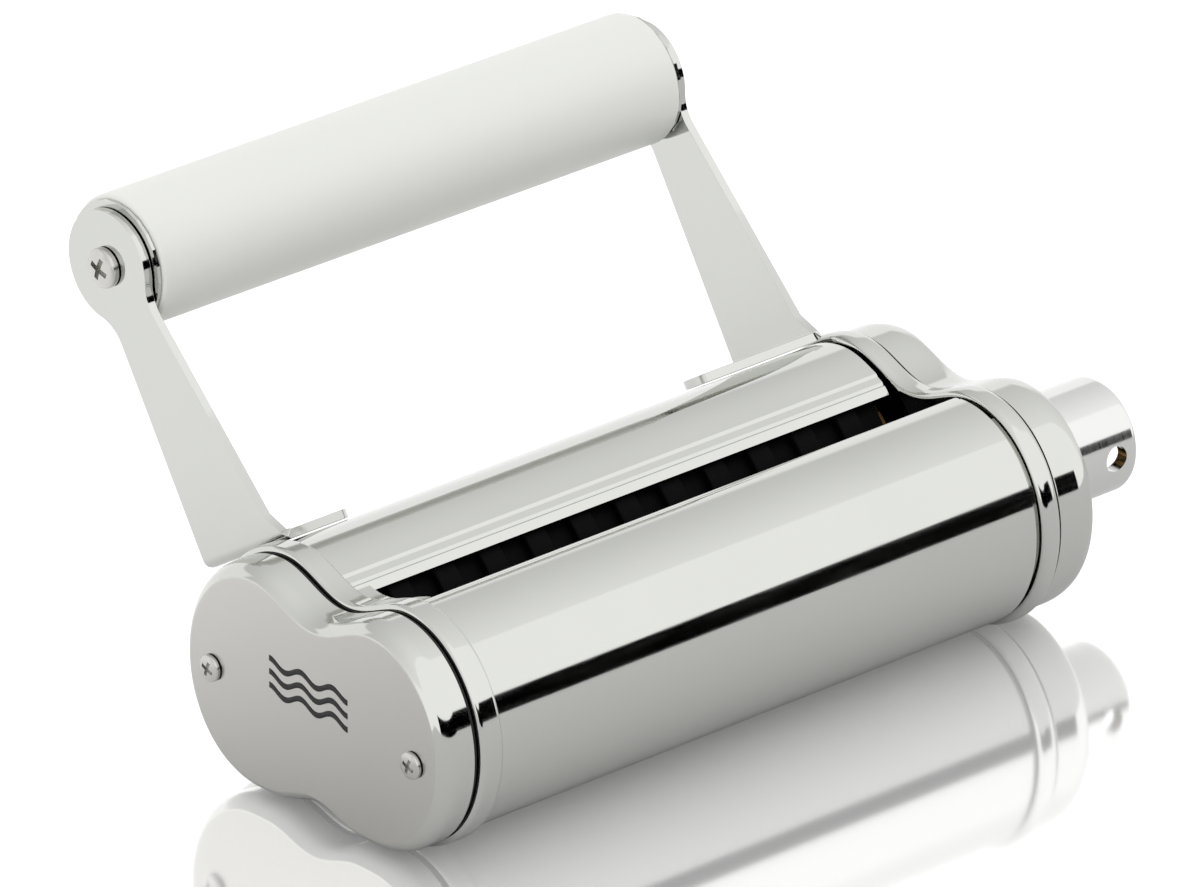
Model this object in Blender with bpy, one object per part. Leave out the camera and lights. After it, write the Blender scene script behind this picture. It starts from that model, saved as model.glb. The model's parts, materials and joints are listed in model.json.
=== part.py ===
"""Ribbon-cutting pasta roller attachment for a stand mixer, as an assembly of separate pieces.

+X runs along the rollers, from the plain end cap to the drive end; +Y points to the back, where the grip is;
+Z is up. The origin is the centre of the footprint, on the surface that the machine stands on.
Sizes are in millimetres here and are turned to metres where the meshes are made.
"""

import math

import bmesh
import bpy
from mathutils import Matrix, Vector

MM = 0.001
GAP = 0.3                      # clear space left between pieces that touch
CUT = 2.0                      # how far a cutter reaches past the face that it cuts

# Body outline, seen along X: two round lobes with a shallow waist above and below
HALF_LENGTH = 41.3
HEIGHT = 52.2
LOBE_Y = 18.2                  # from the middle plane to each lobe's centre
TOP_DIP = 5.1
BOTTOM_DIP = 3.0
REST_FLAT = 4.0                # width of the flat that each plate stands on, under each lobe
LOBE_STEPS = 12
WAIST_STEPS = 8

# Along X, from the left end cap's face
LEFT_CAP_DEPTH = 8.3
SEAL_THICKNESS = 0.6
SEAL_INSET = 0.5               # from the caps' outline
SEAL_WIDTH = 1.9
LEFT_PLATE_THICKNESS = 6.0
RIGHT_PLATE_THICKNESS = 5.3
INSIDE_LENGTH = 150.0          # between the two end plates
RIGHT_CAP_DEPTH = 9.2
SLEEVE_LENGTH = 23.5           # beyond the right end cap

# End caps
CAP_INSET = 1.0                # how far the caps stand in from the plates' outline
CAP_WALL = 1.1
CAP_ROUNDING = 3.3
PLATE_CHAMFER = 0.8
CAP_LEDGE = 0.6                # the wall's inner corner, behind the rounding
CAP_LEDGE_DEPTH = 1.2
CAP_SCREW_Y = 30.8
CAP_SCREW_Z = 24.9
RIGHT_CAP_SCREW_Y = 33.5
RIGHT_CAP_SCREW_Z = 21.0
CAP_SCREW_REACH = 5.0          # of a screw's point beyond its cap's rim
CAP_SCREW_HOLE = 4.5           # depth of its hole in the plate

# Covers round the rollers
COVER_INSET = 1.2
COVER_WALL = 1.0
FRONT_SLOT_Y = 14.8            # where the front cover stops at the dough slot
REAR_SLOT_Y = 8.4              # where the rear cover turns down into the dough slot
REAR_LIP = [(6.5, 46.7), (5.0, 45.1)]
OUTLET_Y = 9.0                 # where both covers stop at the ribbon outlet
COVER_LOBE_STEPS = 20
COVER_WAIST_STEPS = 3
COVER_GROOVE = 2.6             # between the covers' ends and the right plate
RIB_INSET = COVER_INSET + COVER_WALL + 0.4
RIB_WALL = 1.5
RIB_LENGTH = 6.0
RIB_TRIM = 2                   # outline points left out at each end of a rib

# Cutter rollers
ROLLER_Y = 15.8
ROLLER_Z = 30.4
ROLLER_RADIUS = 16.5
GROOVE_RADIUS = 14.6
ROLLER_SEGMENTS = 16
BAND = 6.2                     # ribbon width
BANDS = 23
DISC_WIDTH = 5.7
SHAFT_RADIUS = 5.0
BUSH_RADIUS = 7.5
BUSH_FLANGE_RADIUS = 9.5
BUSH_FLANGE = 1.0
CLIP_RADIUS = 8.2
CLIP_THICKNESS = 1.0
SHAFT_STAND = 3.0              # of the shafts' left ends beyond the plate
SHAFT_TAIL = 0.6               # of the rear shaft beyond its gear

# Gears
TEETH = 20
GEAR_WIDTH = 4.2
GEAR_CLEARANCE = 0.8           # between the right plate and the gears
ADDENDUM = 1.3
DEDENDUM = 1.85
PRESSURE_ANGLE = math.radians(20)
BACKLASH = 0.45
FLANK_SHARES = (0.0, 0.45, 1.0)     # heights on a tooth's flank that have a point
ROOT_SPREAD = 1.05             # a tooth's foot is a little wider than its flank's start

# Drive sleeve
SLEEVE_RADIUS = 12.5
SLEEVE_BORE = 9.8
SLEEVE_CHAMFER = 0.8
SLEEVE_BUSH_SETBACK = 3.0      # from the right cap's face
SLEEVE_BUSH_LENGTH = 6.0
LOCATING_HOLE_RADIUS = 2.9
LOCATING_HOLE_SETBACK = 6.2    # from the sleeve's end
SPINDLE_SETBACK = 3.0
TANG_LENGTH = 14.0
TANG_WIDTH = 7.6

# Stripper combs
COMB_WALL = 1.2
COMB_FOOT = (8.6, 7.0)
COMB_TIP = (6.1, 18.6)
COMB_BAR = 5.0
FINGER_WIDTH = 5.0

# Tie rods and their screws
TIE_Y = 29.4
TIE_Z = 14.2
TIE_RADIUS = 3.0
TIE_THREAD_DEPTH = 9.0
TIE_SCREW_REACH = 6.5
SCREW_RADIUS = 1.5
SCREW_HEAD_RADIUS = 2.9
SCREW_HEAD = 1.2

# Grip and its arms
GRIP_Y = 80.9
GRIP_Z = 92.9
GRIP_RADIUS = 14.4
GRIP_BORE = 11.0
GRIP_ROD_RADIUS = 3.0
GRIP_BUSH_LENGTH = 10.0
GRIP_THREAD_DEPTH = 12.0
GRIP_SCREW_REACH = 9.0
WASHER_THICKNESS = 0.8
WASHER_RADIUS = 13.6
PAN_HEAD_RADIUS = 4.3
PAN_HEAD = 2.1
PAN_SHANK_RADIUS = 2.0
ARM_THICKNESS = 2.0
ARM_DISC_RADIUS = 12.1
ARM_FRONT = ((63.3, 83.3), (32.9, 53.3))    # front edge of the strap, top and bottom
ARM_BACK = ((72.5, 70.2), (54.1, 40.4))     # back edge of the strap, top and bottom
ARM_FILLET = 9.0
FILLET_STEPS = 4
DISC_STEPS = 16
FOOT_ANGLE = math.radians(58.3)             # of the foot's outward normal, from +Y
FOOT_THICKNESS = 1.8
FOOT_START = -4.0              # along the foot's slope, from where it touches the cover
FOOT_END = 25.6
FOOT_LENGTH = 26.0
FOOT_TIP_RADIUS = 7.0
FOOT_TIP_ANGLE = math.radians(70)
FOOT_TIP_STEPS = 8

# Positions worked out from the sizes above
CENTRE_Z = HEIGHT / 2
TOTAL_LENGTH = (LEFT_CAP_DEPTH + LEFT_PLATE_THICKNESS + INSIDE_LENGTH + RIGHT_PLATE_THICKNESS
                + RIGHT_CAP_DEPTH + 2 * (SEAL_THICKNESS + 2 * GAP) + SLEEVE_LENGTH)
SCREW_STAND = GAP + SCREW_HEAD     # how far the left cap's screws stand out of its face
LEFT_FACE = (SCREW_STAND - TOTAL_LENGTH) / 2
LEFT_CAP_RIM = LEFT_FACE + LEFT_CAP_DEPTH
LEFT_PLATE_OUT = LEFT_CAP_RIM + SEAL_THICKNESS + 2 * GAP
LEFT_PLATE_IN = LEFT_PLATE_OUT + LEFT_PLATE_THICKNESS
RIGHT_PLATE_IN = LEFT_PLATE_IN + INSIDE_LENGTH
RIGHT_PLATE_OUT = RIGHT_PLATE_IN + RIGHT_PLATE_THICKNESS
RIGHT_CAP_RIM = RIGHT_PLATE_OUT + SEAL_THICKNESS + 2 * GAP
RIGHT_FACE = RIGHT_CAP_RIM + RIGHT_CAP_DEPTH
SLEEVE_END = RIGHT_FACE + SLEEVE_LENGTH
BODY_Y = (HALF_LENGTH - GRIP_Y - GRIP_RADIUS) / 2   # puts the footprint's centre at Y = 0

MATERIALS = {}


def material(name, colour, roughness, metallic):
    if name not in MATERIALS:
        made = bpy.data.materials.new(name)
        made.use_nodes = True
        shader = made.node_tree.nodes["Principled BSDF"]
        shader.inputs["Base Color"].default_value = (*colour, 1.0)
        shader.inputs["Roughness"].default_value = roughness
        shader.inputs["Metallic"].default_value = metallic
        MATERIALS[name] = made
    return MATERIALS[name]


def polished():
    return material("polished_steel", (0.72, 0.72, 0.70), 0.08, 1.0)


def satin():
    return material("satin_steel", (0.66, 0.66, 0.64), 0.28, 1.0)


def machined():
    return material("machined_aluminium", (0.80, 0.80, 0.80), 0.25, 1.0)


def plain_steel():
    return material("plain_steel", (0.50, 0.50, 0.49), 0.35, 1.0)


def bronze():
    return material("bronze", (0.60, 0.42, 0.20), 0.40, 1.0)


def white_plastic():
    return material("white_plastic", (0.84, 0.85, 0.83), 0.40, 0.0)


def black_rubber():
    return material("black_rubber", (0.02, 0.02, 0.02), 0.60, 0.0)


def cream_nylon():
    return material("cream_nylon", (0.80, 0.77, 0.68), 0.45, 0.0)


def black_nylon():
    return material("black_nylon", (0.03, 0.03, 0.03), 0.50, 0.0)


def black_anodised():
    return material("black_anodised_aluminium", (0.04, 0.04, 0.04), 0.45, 1.0)


def add_object(name, mesh_builder, finish, parent, place=(0, 0, 0)):
    """Makes an object from a bmesh given in millimetres round its own origin, at a place under its parent."""
    mesh_builder.normal_update()
    bmesh.ops.recalc_face_normals(mesh_builder, faces=mesh_builder.faces)
    bmesh.ops.scale(mesh_builder, vec=(MM, MM, MM), verts=mesh_builder.verts)
    mesh = bpy.data.meshes.new(name)
    mesh_builder.to_mesh(mesh)
    mesh_builder.free()
    made = bpy.data.objects.new(name, mesh)
    bpy.context.collection.objects.link(made)
    if finish is not None:
        mesh.materials.append(finish)
        mesh.shade_smooth()
        mesh.set_sharp_from_angle(angle=math.radians(35))
    made.parent = parent
    made.location = Vector(place) * MM
    return made


def add_empty(name, parent, place):
    made = bpy.data.objects.new(name, None)
    bpy.context.collection.objects.link(made)
    made.parent = parent
    made.location = Vector(place) * MM
    return made


def boolean(target, tools, operation="DIFFERENCE"):
    """Cuts the tools out of the target, or joins them to it. The tools are guides that the model leaves out."""
    for tool in tools:
        tool.hide_render = True
        tool.display_type = "WIRE"
        step = target.modifiers.new(tool.name, "BOOLEAN")
        step.operation = operation
        step.solver = "EXACT"
        step.object = tool
    return target


def prism(outline, start, end):
    """A solid with an outline of (y, z) points between two places along X."""
    bm = bmesh.new()
    face = bm.faces.new([bm.verts.new((start, y, z)) for y, z in outline])
    grown = bmesh.ops.extrude_face_region(bm, geom=[face])["geom"]
    moved = [v for v in grown if isinstance(v, bmesh.types.BMVert)]
    bmesh.ops.translate(bm, vec=(end - start, 0, 0), verts=moved)
    return bm


def turned(profile, segments, closed=False):
    """A solid turned about X from (x, radius) points. A closed profile makes a ring."""
    bm = bmesh.new()
    points = [bm.verts.new((x, 0, r)) for x, r in profile]
    pairs = list(zip(points, points[1:]))
    if closed:
        pairs.append((points[-1], points[0]))
    edges = [bm.edges.new(pair) for pair in pairs]
    bmesh.ops.spin(bm, geom=points + edges, cent=(0, 0, 0), axis=(1, 0, 0), angle=2 * math.pi,
                   steps=segments, use_merge=True)
    bmesh.ops.remove_doubles(bm, verts=bm.verts, dist=0.001)
    return bm


def ring(start, end, inner, outer, segments=20):
    return turned([(start, inner), (start, outer), (end, outer), (end, inner)], segments, closed=True)


def rod(start, end, radius, segments=24):
    return turned([(start, 0), (start, radius), (end, radius), (end, 0)], segments)


def cutter(name, mesh_builder, parent, place=(0, 0, 0)):
    return add_object(name, mesh_builder, None, parent, place)


def waist(y, inset, upper):
    """Height of the outline between the lobes, on its upper or its lower side."""
    dip, span = (TOP_DIP, LOBE_Y) if upper else (BOTTOM_DIP, LOBE_Y - REST_FLAT)
    share = (1 + math.cos(math.pi * min(abs(y) / span, 1.0))) / 2
    rise = CENTRE_Z - inset - dip * share
    return CENTRE_Z + rise if upper else CENTRE_Z - rise


def lobe_point(angle, inset):
    return (LOBE_Y + (HALF_LENGTH - LOBE_Y - inset) * math.cos(angle),
            CENTRE_Z + (CENTRE_Z - inset) * math.sin(angle))


def lobe_arc(inset, steps=LOBE_STEPS):
    """The rear lobe's outer side, from its top round to its bottom."""
    return [lobe_point(math.pi / 2 - math.pi * i / steps, inset) for i in range(steps + 1)]


def body_outline(inset):
    """The whole outline, set in by a distance, as (y, z) points with no point twice."""
    def spread(span):
        return [span - 2 * span * i / WAIST_STEPS for i in range(WAIST_STEPS + 1)]

    rear = lobe_arc(inset)
    lower = [(y, waist(y, inset, False)) for y in spread(LOBE_Y - REST_FLAT)]
    front = [(-y, z) for y, z in reversed(rear)]
    upper = [(-y, waist(y, inset, True)) for y in spread(LOBE_Y)[1:-1]]
    return rear + lower + front + upper


def loft(rings):
    """A solid through outlines at several places along X: each ring is (x, inset), and both ends are closed."""
    bm = bmesh.new()
    loops = []
    for x, inset in rings:
        loops.append([bm.verts.new((x, y, z)) for y, z in body_outline(inset)])
    for one, two in zip(loops, loops[1:]):
        for i in range(len(one)):
            j = (i + 1) % len(one)
            bm.faces.new((one[i], one[j], two[j], two[i]))
    bm.faces.new(loops[0])
    bm.faces.new(reversed(loops[-1]))
    return bm


def offset_path(points, distance):
    """A copy of an open path, moved to its right by a distance."""
    moved = []
    for i, point in enumerate(points):
        before = Vector(points[max(i - 1, 0)])
        after = Vector(points[min(i + 1, len(points) - 1)])
        along = (after - before).normalized()
        moved.append((point[0] + along.y * distance, point[1] - along.x * distance))
    return moved


def mirrored(points):
    return [(-y, z) for y, z in points]


def sheet_outline(path, wall):
    """The closed outline of a sheet that follows a path, with its wall on the path's right."""
    return path + list(reversed(offset_path(path, wall)))


def cap_profile(face, rim, inset):
    """Rings of a drawn cup: from its inner face out over the rim and back to its rounded outer face."""
    way = 1 if rim > face else -1
    rounding = [(face + way * CAP_ROUNDING * (1 - math.sin(a)), inset + CAP_ROUNDING * (1 - math.cos(a)))
                for a in (0.0, math.radians(30), math.radians(60), math.radians(90))]
    return ([(face + way * CAP_WALL, inset + CAP_ROUNDING + CAP_LEDGE),
             (face + way * (CAP_WALL + CAP_LEDGE_DEPTH), inset + CAP_WALL + CAP_LEDGE),
             (face + way * CAP_ROUNDING, inset + CAP_WALL),
             (rim, inset + CAP_WALL), (rim, inset)] + rounding)


def screw(name, parent, place, head_radius, head, shank_radius, length, way):
    """A screw with a domed head and a plain shank, pointing along X: way is +1 or -1 for its point."""
    head_start = -way * head
    profile = [(head_start, 0), (head_start, head_radius * 0.6), (head_start * 0.4, head_radius),
               (0, head_radius), (0, shank_radius),
               (way * length, shank_radius), (way * length, 0)]
    return add_object(name, turned(profile, 12), satin(), parent, place)


def make_end_caps(body):
    """The two drawn covers on the ends, with their screws."""
    left_cup = loft(cap_profile(LEFT_FACE, LEFT_CAP_RIM, CAP_INSET))
    right_cup = loft(cap_profile(RIGHT_FACE, RIGHT_CAP_RIM, CAP_INSET))
    left = add_object("left_end_cap", left_cup, satin(), body)
    right = add_object("right_end_cap", right_cup, satin(), body)
    hole = SCREW_RADIUS + GAP
    for side, label in ((-1, "front"), (1, "rear")):
        place = (0, side * CAP_SCREW_Y, CAP_SCREW_Z)
        drill = rod(LEFT_FACE - CUT, LEFT_CAP_RIM, hole, 16)
        boolean(left, [cutter("left_cap_hole_" + label, drill, body, place)])
        screw("left_cap_screw_" + label, body, (LEFT_FACE - GAP, place[1], place[2]), SCREW_HEAD_RADIUS,
              SCREW_HEAD, SCREW_RADIUS, LEFT_CAP_DEPTH + CAP_SCREW_REACH, 1)
        place = (0, side * RIGHT_CAP_SCREW_Y, RIGHT_CAP_SCREW_Z)
        drill = rod(RIGHT_CAP_RIM, RIGHT_FACE + CUT, hole, 16)
        boolean(right, [cutter("right_cap_hole_" + label, drill, body, place)])
        screw("right_cap_screw_" + label, body, (RIGHT_FACE + GAP, place[1], place[2]), SCREW_HEAD_RADIUS,
              SCREW_HEAD, SCREW_RADIUS, RIGHT_CAP_DEPTH + CAP_SCREW_REACH, -1)
    sleeve_hole = rod(RIGHT_CAP_RIM, RIGHT_FACE + CUT, SLEEVE_RADIUS + GAP, 32)
    boolean(right, [cutter("sleeve_hole", sleeve_hole, body, (0, -ROLLER_Y, ROLLER_Z))])


def make_seals(body):
    """Thin black seals between each cap and its plate."""
    for label, start in (("left_seal", LEFT_CAP_RIM + GAP), ("right_seal", RIGHT_PLATE_OUT + GAP)):
        end = start + SEAL_THICKNESS
        seal = add_object(label, prism(body_outline(CAP_INSET + SEAL_INSET), start, end), black_rubber(), body)
        inside = prism(body_outline(CAP_INSET + SEAL_INSET + SEAL_WIDTH), start - CUT, end + CUT)
        boolean(seal, [cutter(label + "_inside", inside, body)])


def cover_path(side, inset):
    """A cover's outside, from the dough slot over its lobe to the ribbon outlet."""
    slot = FRONT_SLOT_Y if side < 0 else REAR_SLOT_Y
    lip = [] if side < 0 else REAR_LIP[::-1]

    def to_lobe(start):
        return [start + (LOBE_Y - start) * i / COVER_WAIST_STEPS for i in range(COVER_WAIST_STEPS)]

    top = [(y, waist(y, inset, True)) for y in to_lobe(slot)]
    bottom = [(y, waist(y, inset, False)) for y in reversed(to_lobe(OUTLET_Y))]
    return lip + top + lobe_arc(inset, COVER_LOBE_STEPS) + bottom


def make_end_plates(body):
    """The two plates that carry everything, each with curved ribs that locate the covers."""
    for label, start, end, inner, way in (
        ("left_end_plate", LEFT_PLATE_OUT, LEFT_PLATE_IN, LEFT_PLATE_IN, 1),
        ("right_end_plate", RIGHT_PLATE_IN, RIGHT_PLATE_OUT, RIGHT_PLATE_IN, -1),
    ):
        plate = add_object(label, loft([(start, PLATE_CHAMFER), (start + PLATE_CHAMFER, 0),
                                        (end - PLATE_CHAMFER, 0), (end, PLATE_CHAMFER)]), polished(), body)
        arc = lobe_arc(RIB_INSET)[RIB_TRIM:-RIB_TRIM]
        for side in (-1, 1):
            path = arc if side > 0 else mirrored(arc)
            rib = prism(sheet_outline(path, RIB_WALL * side), inner - way, inner + way * RIB_LENGTH)
            boolean(plate, [cutter(f"{label}_rib_{side}", rib, body)], "UNION")
        screw_y, screw_z = CAP_SCREW_Y, CAP_SCREW_Z
        if way < 0:
            screw_y, screw_z = RIGHT_CAP_SCREW_Y, RIGHT_CAP_SCREW_Z
        holes = []
        for side in (-1, 1):
            holes.append((side * ROLLER_Y, ROLLER_Z, BUSH_RADIUS + GAP, 32, start - CUT, end + CUT))
            holes.append((side * TIE_Y, TIE_Z, SCREW_RADIUS + GAP, 16, start - CUT, end + CUT))
            blind = (start - CUT, start + CAP_SCREW_HOLE) if way > 0 else (end - CAP_SCREW_HOLE, end + CUT)
            holes.append((side * screw_y, screw_z, SCREW_RADIUS + GAP, 16, *blind))
        for i, (y, z, radius, segments, low, high) in enumerate(holes):
            boolean(plate, [cutter(f"{label}_hole_{i}", rod(low, high, radius, segments), body, (0, y, z))])


def make_covers(body):
    """The front and rear sheet covers."""
    start, end = LEFT_PLATE_IN + GAP, RIGHT_PLATE_IN - COVER_GROOVE
    rear = sheet_outline(cover_path(1, COVER_INSET), COVER_WALL)
    front = mirrored(sheet_outline(cover_path(-1, COVER_INSET), COVER_WALL))
    add_object("rear_cover", prism(rear, start, end), polished(), body)
    add_object("front_cover", prism(front, start, end), polished(), body)


def make_bushes(body):
    """Flanged bronze bushes in the plates, and one in the drive sleeve."""
    bore = SHAFT_RADIUS + GAP
    for side, depth in ((-1, "front"), (1, "rear")):
        place = (0, side * ROLLER_Y, ROLLER_Z)
        for hand, inner, outer, way in (("left", LEFT_PLATE_IN, LEFT_PLATE_OUT, 1),
                                        ("right", RIGHT_PLATE_IN, RIGHT_PLATE_OUT, -1)):
            flange = inner + way * GAP
            profile = [(outer, bore), (outer, BUSH_RADIUS), (flange, BUSH_RADIUS), (flange, BUSH_FLANGE_RADIUS),
                       (flange + way * BUSH_FLANGE, BUSH_FLANGE_RADIUS), (flange + way * BUSH_FLANGE, bore)]
            add_object(f"{depth}_{hand}_bush", turned(profile, 20, closed=True), bronze(), body, place)
    start = RIGHT_FACE + SLEEVE_BUSH_SETBACK
    sleeve_bush = ring(start, start + SLEEVE_BUSH_LENGTH, bore, SLEEVE_BORE - GAP)
    add_object("sleeve_bush", sleeve_bush, bronze(), body, (0, -ROLLER_Y, ROLLER_Z))


def make_sleeve(body):
    """The fixed shank that plugs into the mixer's outlet, with its locating hole facing the front."""
    place = (0, -ROLLER_Y, ROLLER_Z)
    profile = [(RIGHT_FACE - CAP_WALL, SLEEVE_BORE), (RIGHT_FACE - CAP_WALL, SLEEVE_RADIUS),
               (SLEEVE_END - SLEEVE_CHAMFER, SLEEVE_RADIUS), (SLEEVE_END, SLEEVE_RADIUS - SLEEVE_CHAMFER),
               (SLEEVE_END, SLEEVE_BORE)]
    sleeve = add_object("drive_sleeve", turned(profile, 32, closed=True), machined(), body, place)
    drill = rod(-CUT, 2 * CUT, LOCATING_HOLE_RADIUS, 20)
    bmesh.ops.rotate(drill, cent=(0, 0, 0), matrix=Matrix.Rotation(math.pi / 2, 3, "Z"), verts=drill.verts)
    spot = (SLEEVE_END - LOCATING_HOLE_SETBACK, -ROLLER_Y - (SLEEVE_RADIUS + SLEEVE_BORE) / 2, ROLLER_Z)
    boolean(sleeve, [cutter("locating_hole", drill, body, spot)])


def roller_profile(first_band):
    """Discs on every second band, with grooves between them for the other roller's discs."""
    bore = SHAFT_RADIUS + GAP
    low = -BANDS * BAND / 2
    profile = [(low, bore), (low, GROOVE_RADIUS)]
    for band in range(first_band, BANDS, 2):
        middle = low + (band + 0.5) * BAND
        left, right = middle - DISC_WIDTH / 2, middle + DISC_WIDTH / 2
        profile += [(left, GROOVE_RADIUS), (left, ROLLER_RADIUS), (right, ROLLER_RADIUS), (right, GROOVE_RADIUS)]
    profile += [(-low, GROOVE_RADIUS), (-low, bore)]
    return profile


def gear_outline(first_angle):
    """An involute gear's outline, thinned a little on each flank for backlash."""
    pitch = ROLLER_Y
    base = pitch * math.cos(PRESSURE_ANGLE)
    outer, root = pitch + ADDENDUM, pitch - DEDENDUM

    def involute(angle):
        return math.tan(angle) - angle

    def half_thickness(radius):
        roll = math.acos(min(1.0, base / radius))
        return (math.pi / (2 * TEETH) - BACKLASH / (2 * pitch) + involute(PRESSURE_ANGLE) - involute(roll))

    flank_radii = [max(base, root) + (outer - max(base, root)) * share for share in FLANK_SHARES]
    points = []
    for tooth in range(TEETH):
        middle = first_angle + 2 * math.pi * tooth / TEETH
        foot = half_thickness(flank_radii[0]) * ROOT_SPREAD
        polar = [(root, -foot)] + [(r, -half_thickness(r)) for r in flank_radii]
        polar += [(r, half_thickness(r)) for r in reversed(flank_radii)] + [(root, foot)]
        points += [(r * math.cos(middle + a), r * math.sin(middle + a)) for r, a in polar]
    return points


def make_gear(name, parent, first_angle):
    start = RIGHT_PLATE_OUT + GEAR_CLEARANCE
    gear = add_object(name, prism(gear_outline(first_angle), start, start + GEAR_WIDTH), plain_steel(), parent)
    bore = rod(start - CUT, start + GEAR_WIDTH + CUT, SHAFT_RADIUS + GAP)
    boolean(gear, [cutter(name + "_bore", bore, parent)])


def make_front_roller(pivot):
    """The driven roller, on a spindle that runs out through the drive sleeve."""
    roller = turned(roller_profile(0), ROLLER_SEGMENTS, closed=True)
    middle = (LEFT_PLATE_IN + RIGHT_PLATE_IN) / 2
    add_object("front_cutter_roller", roller, black_anodised(), pivot, (middle, 0, 0))
    end = SLEEVE_END - SPINDLE_SETBACK
    shaft = rod(LEFT_PLATE_OUT - SHAFT_STAND, end, SHAFT_RADIUS)
    spindle = add_object("drive_spindle", shaft, plain_steel(), pivot)
    flats = bmesh.new()
    length, depth, height = TANG_LENGTH + CUT, SHAFT_RADIUS, 3 * SHAFT_RADIUS
    for side in (-1, 1):
        place = Matrix.Translation((end + CUT - length / 2, side * (TANG_WIDTH + depth) / 2, 0))
        bmesh.ops.create_cube(flats, size=1.0, matrix=place @ Matrix.Diagonal((length, depth, height, 1)))
    boolean(spindle, [cutter("tang_flats", flats, pivot)])
    make_gear("drive_gear", pivot, math.pi / TEETH)
    clip = ring(LEFT_PLATE_OUT - GAP - CLIP_THICKNESS, LEFT_PLATE_OUT - GAP, SHAFT_RADIUS + GAP, CLIP_RADIUS)
    add_object("front_clip_left", clip, plain_steel(), pivot)


def make_rear_roller(pivot):
    """The second roller, turned by the first through the gears."""
    roller = turned(roller_profile(1), ROLLER_SEGMENTS, closed=True)
    middle = (LEFT_PLATE_IN + RIGHT_PLATE_IN) / 2
    add_object("rear_cutter_roller", roller, black_anodised(), pivot, (middle, 0, 0))
    end = RIGHT_PLATE_OUT + GEAR_CLEARANCE + GEAR_WIDTH + SHAFT_TAIL
    add_object("rear_shaft", rod(LEFT_PLATE_OUT - SHAFT_STAND, end, SHAFT_RADIUS), plain_steel(), pivot)
    make_gear("driven_gear", pivot, 0.0)
    clip = ring(LEFT_PLATE_OUT - GAP - CLIP_THICKNESS, LEFT_PLATE_OUT - GAP, SHAFT_RADIUS + GAP, CLIP_RADIUS)
    add_object("rear_clip_left", clip, plain_steel(), pivot)


def make_combs(body):
    """Combs whose fingers stand in the grooves and peel the ribbons off."""
    low = (LEFT_PLATE_IN + RIGHT_PLATE_IN - BANDS * BAND) / 2
    foot, tip = Vector(COMB_FOOT), Vector(COMB_TIP)
    length = (tip - foot).length
    up = (tip - foot) / length
    for side, label in ((-1, "front_comb"), (1, "rear_comb")):
        points = [(LEFT_PLATE_IN + 2 * GAP, 0.0), (RIGHT_PLATE_IN - 2 * GAP, 0.0),
                  (RIGHT_PLATE_IN - 2 * GAP, COMB_BAR)]
        bands = range(1, BANDS, 2) if side < 0 else range(2, BANDS - 1, 2)
        for band in reversed(bands):
            middle = low + (band + 0.5) * BAND
            right, left = middle + FINGER_WIDTH / 2, middle - FINGER_WIDTH / 2
            points += [(right, COMB_BAR), (right, length), (left, length), (left, COMB_BAR)]
        points.append((LEFT_PLATE_IN + 2 * GAP, COMB_BAR))
        bm = bmesh.new()
        across = Vector((up.y, -up.x)) * (COMB_WALL / 2)
        corners = []
        for x, s in points:
            at = foot + up * s - across
            corners.append(bm.verts.new((x, side * at.x, at.y)))
        face = bm.faces.new(corners)
        grown = bmesh.ops.extrude_face_region(bm, geom=[face])["geom"]
        moved = [v for v in grown if isinstance(v, bmesh.types.BMVert)]
        bmesh.ops.translate(bm, vec=(0, side * across.x * 2, across.y * 2), verts=moved)
        add_object(label, bm, black_nylon(), body)


def make_ties(body):
    """Two rods that hold the plates apart, and the four screws in their ends."""
    start, end = LEFT_PLATE_IN + GAP, RIGHT_PLATE_IN - GAP
    depth, hole = TIE_THREAD_DEPTH, SCREW_RADIUS + GAP
    for side, label in ((-1, "front"), (1, "rear")):
        place = (0, side * TIE_Y, TIE_Z)
        profile = [(start + depth, 0), (start + depth, hole), (start, hole), (start, TIE_RADIUS),
                   (end, TIE_RADIUS), (end, hole), (end - depth, hole), (end - depth, 0)]
        add_object(f"{label}_tie_rod", turned(profile, 12), plain_steel(), body, place)
        for hand, face, way in (("left", LEFT_PLATE_OUT - GAP, 1), ("right", RIGHT_PLATE_OUT + GAP, -1)):
            screw(f"{label}_{hand}_tie_screw", body, (face, place[1], place[2]), SCREW_HEAD_RADIUS,
                  SCREW_HEAD, SCREW_RADIUS, LEFT_PLATE_THICKNESS + TIE_SCREW_REACH, way)


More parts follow.
